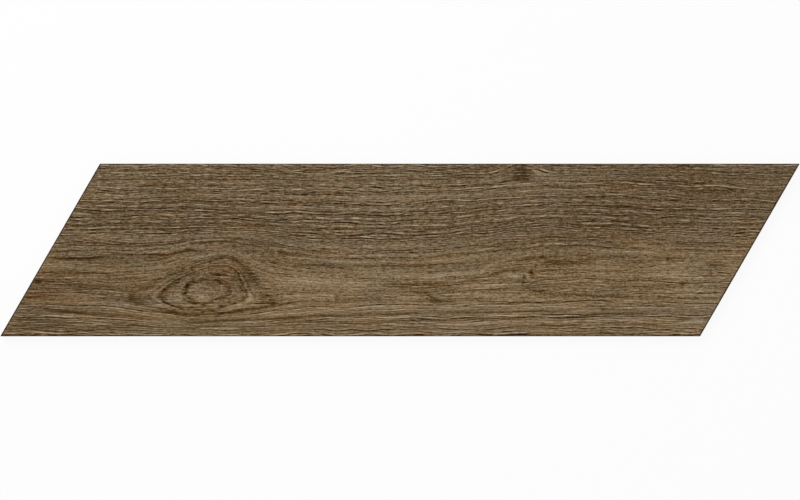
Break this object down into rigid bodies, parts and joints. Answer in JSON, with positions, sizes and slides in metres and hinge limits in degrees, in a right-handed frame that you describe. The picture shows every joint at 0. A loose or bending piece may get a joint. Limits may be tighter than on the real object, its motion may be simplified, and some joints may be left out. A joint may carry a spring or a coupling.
{
  "type": "chevron wall tile",
  "caption": "Flat parallelogram wall tile with mitred ends, a matt wood-grain face, ground arrises and a keyed back for adhesive.",
  "frame": {"origin": "centre of the tile's back, in the plane of its rib tips and rim", "axes": "+X along the long sides, +Y across the tile from the lower long side to the upper one, +Z out of the decorated face"},
  "size_m": [0.6854, 0.148, 0.009],
  "materials": {
    "fired_tile": "matt glaze printed with brown oak grain, bare fired body on the sides and back"
  },
  "bodies": {
    "root": {"chevron_tile": "fired_tile"}
  },
  "joints": []
}
